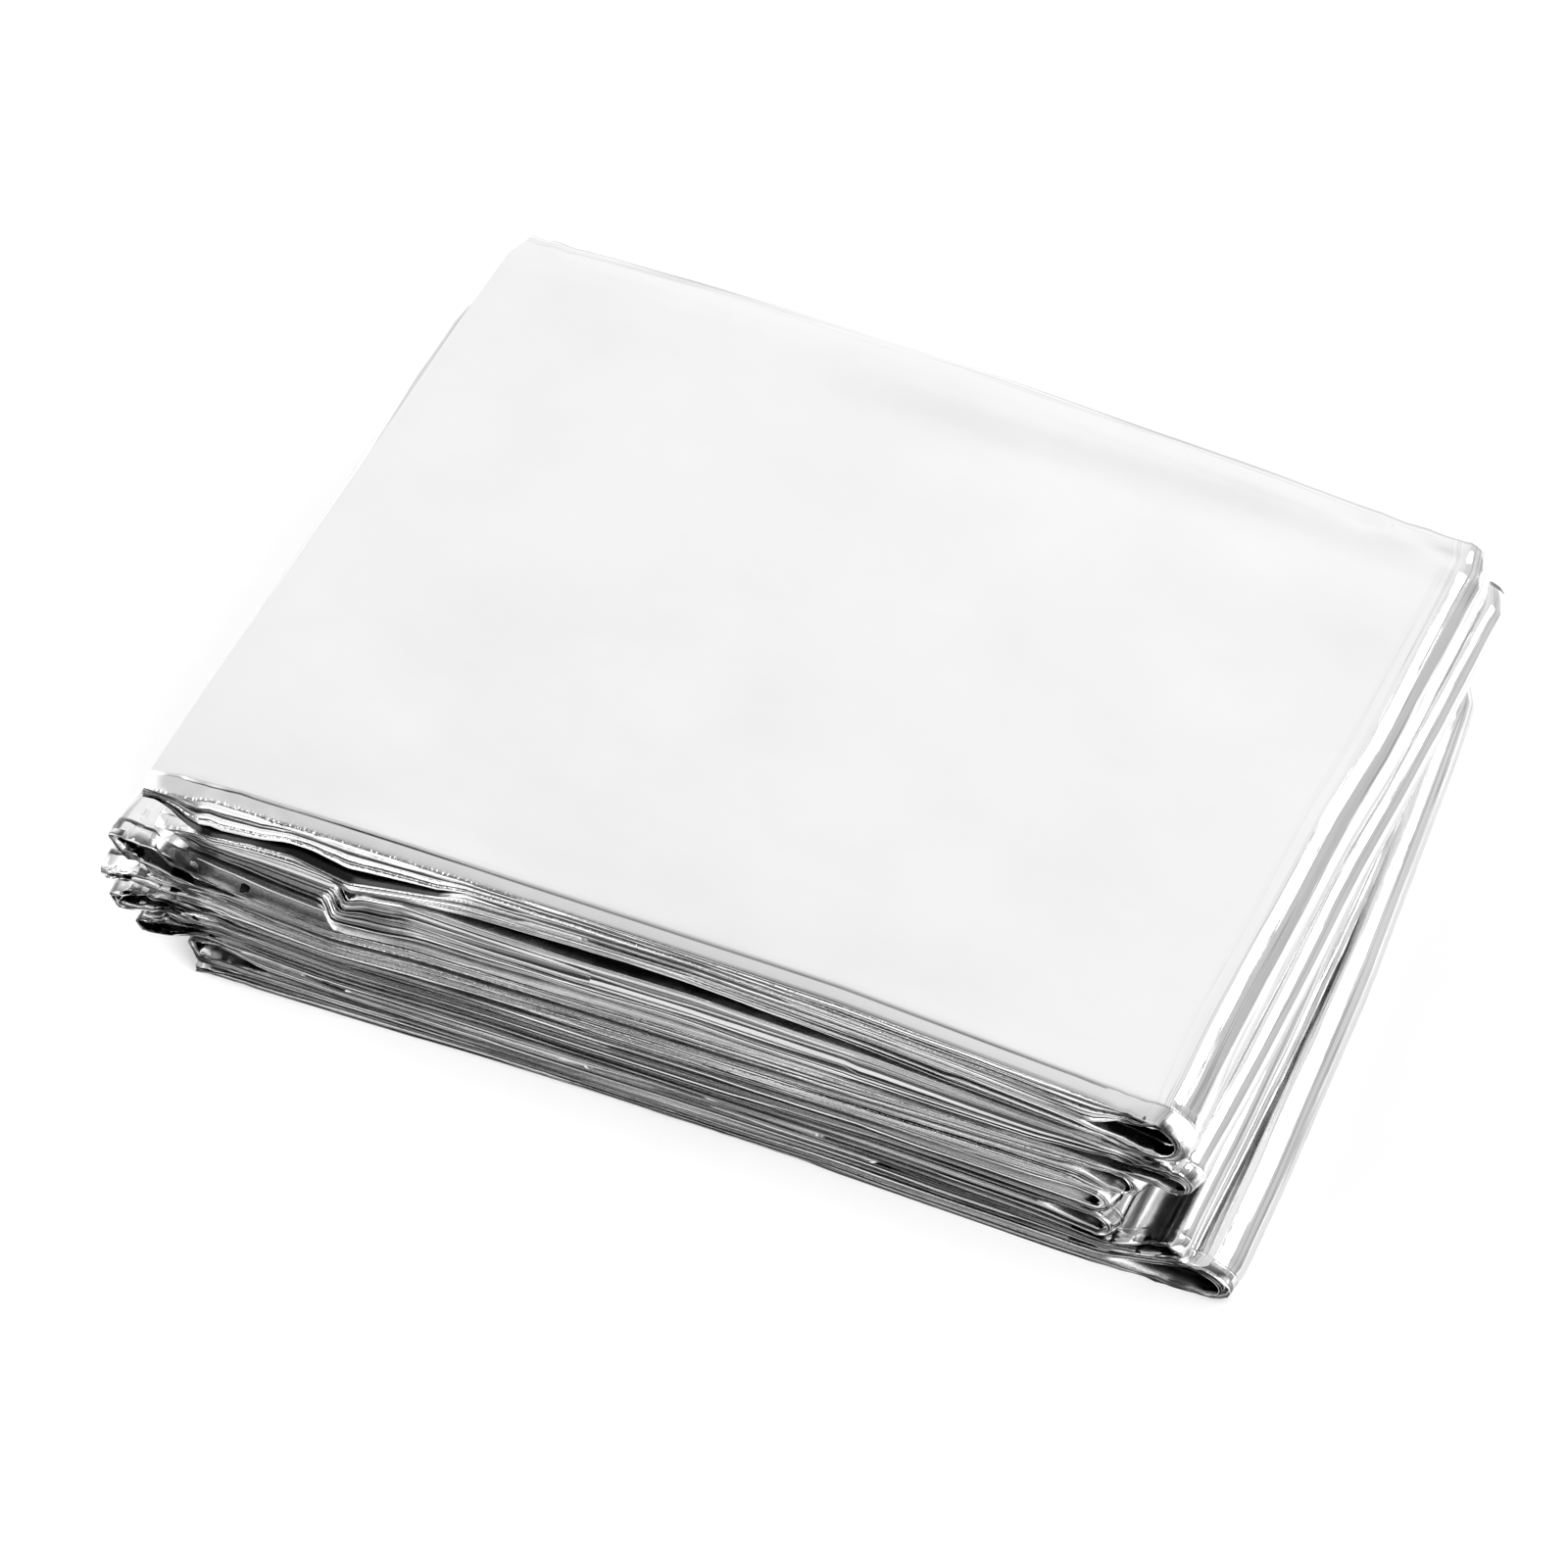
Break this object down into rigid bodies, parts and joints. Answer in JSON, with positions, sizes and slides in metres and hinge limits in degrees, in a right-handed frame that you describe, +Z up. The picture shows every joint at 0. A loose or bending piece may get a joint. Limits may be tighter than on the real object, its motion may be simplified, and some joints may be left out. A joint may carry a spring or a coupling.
{
  "type": "folded emergency foil blanket",
  "caption": "Thin metallised film rescue blanket, pleated into a strip and folded back and forth to a flat packet, for keeping a person warm.",
  "frame": {"origin": "middle of the packet's footprint, on the surface it lies on", "axes": "+X along the long front edge, from the top sheet's free end towards its first fold; +Y from the front, where the pleats' free film edges lie, to the back; +Z up"},
  "size_m": [0.1276, 0.0924, 0.0299],
  "materials": {
    "foil": "mirror-bright metallised film with fine creases and a satin sheen where it lies flat"
  },
  "bodies": {
    "root": {"foil_blanket": "foil"}
  },
  "joints": []
}
